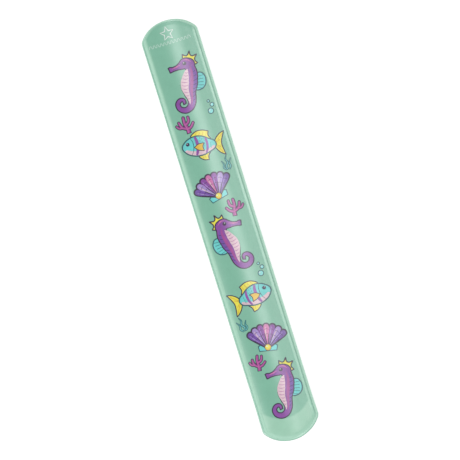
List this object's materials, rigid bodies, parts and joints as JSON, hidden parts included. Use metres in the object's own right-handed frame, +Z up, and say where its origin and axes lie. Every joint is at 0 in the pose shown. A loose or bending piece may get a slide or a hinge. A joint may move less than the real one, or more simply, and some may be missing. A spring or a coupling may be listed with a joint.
{
  "type": "slap bracelet",
  "caption": "Child's slap bracelet held straight: a round-ended mint PVC band with a printed face and welded rim, bowed across its width over a spring steel strip.",
  "frame": {"origin": "the middle of the band's length, on the ridge of its plain back that it rests on", "axes": "+Y along the band to the end where the steel strip comes closest to the tip, +Z up out of the printed face, +X across the band"},
  "size_m": [0.0288, 0.22, 0.0044],
  "materials": {
    "front_film": "satin mint PVC film with a faint pressed weave",
    "back_film": "plain satin mint PVC film",
    "spring_steel": "bare rolled spring steel",
    "print_ink": "opaque coloured ink under the film's satin gloss"
  },
  "bodies": {
    "root": {"front_film": "front_film", "back_film": "back_film", "spring_strip": "spring_steel"}
  },
  "joints": []
}
